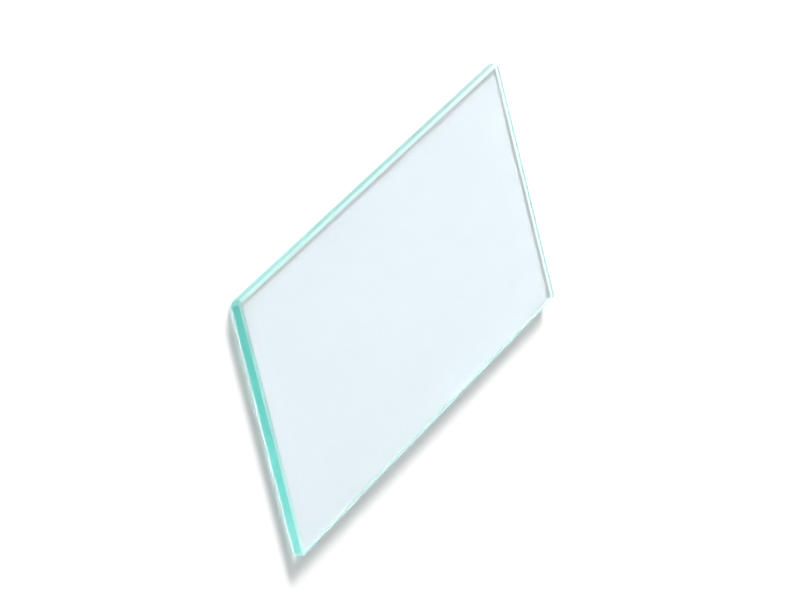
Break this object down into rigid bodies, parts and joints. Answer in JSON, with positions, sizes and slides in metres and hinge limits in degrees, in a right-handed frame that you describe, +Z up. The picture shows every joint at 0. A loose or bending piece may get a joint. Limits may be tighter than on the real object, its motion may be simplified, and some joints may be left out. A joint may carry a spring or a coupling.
{
  "type": "microscope slide",
  "caption": "Plain rectangular glass plate with ground, seamed edges and dubbed corners, which carries a specimen under a microscope.",
  "frame": {"origin": "middle of the underside, which is the face that the slide rests on", "axes": "+X along the length, +Y across the width, +Z up through the thickness, out of the face that carries the specimen"},
  "size_m": [0.0762, 0.0254, 0.0012],
  "materials": {
    "clear_glass": "polished clear soda-lime glass with a faint cool tint; the edges are ground matt and read aqua green"
  },
  "bodies": {
    "root": {"glass_slide": "clear_glass"}
  },
  "joints": []
}
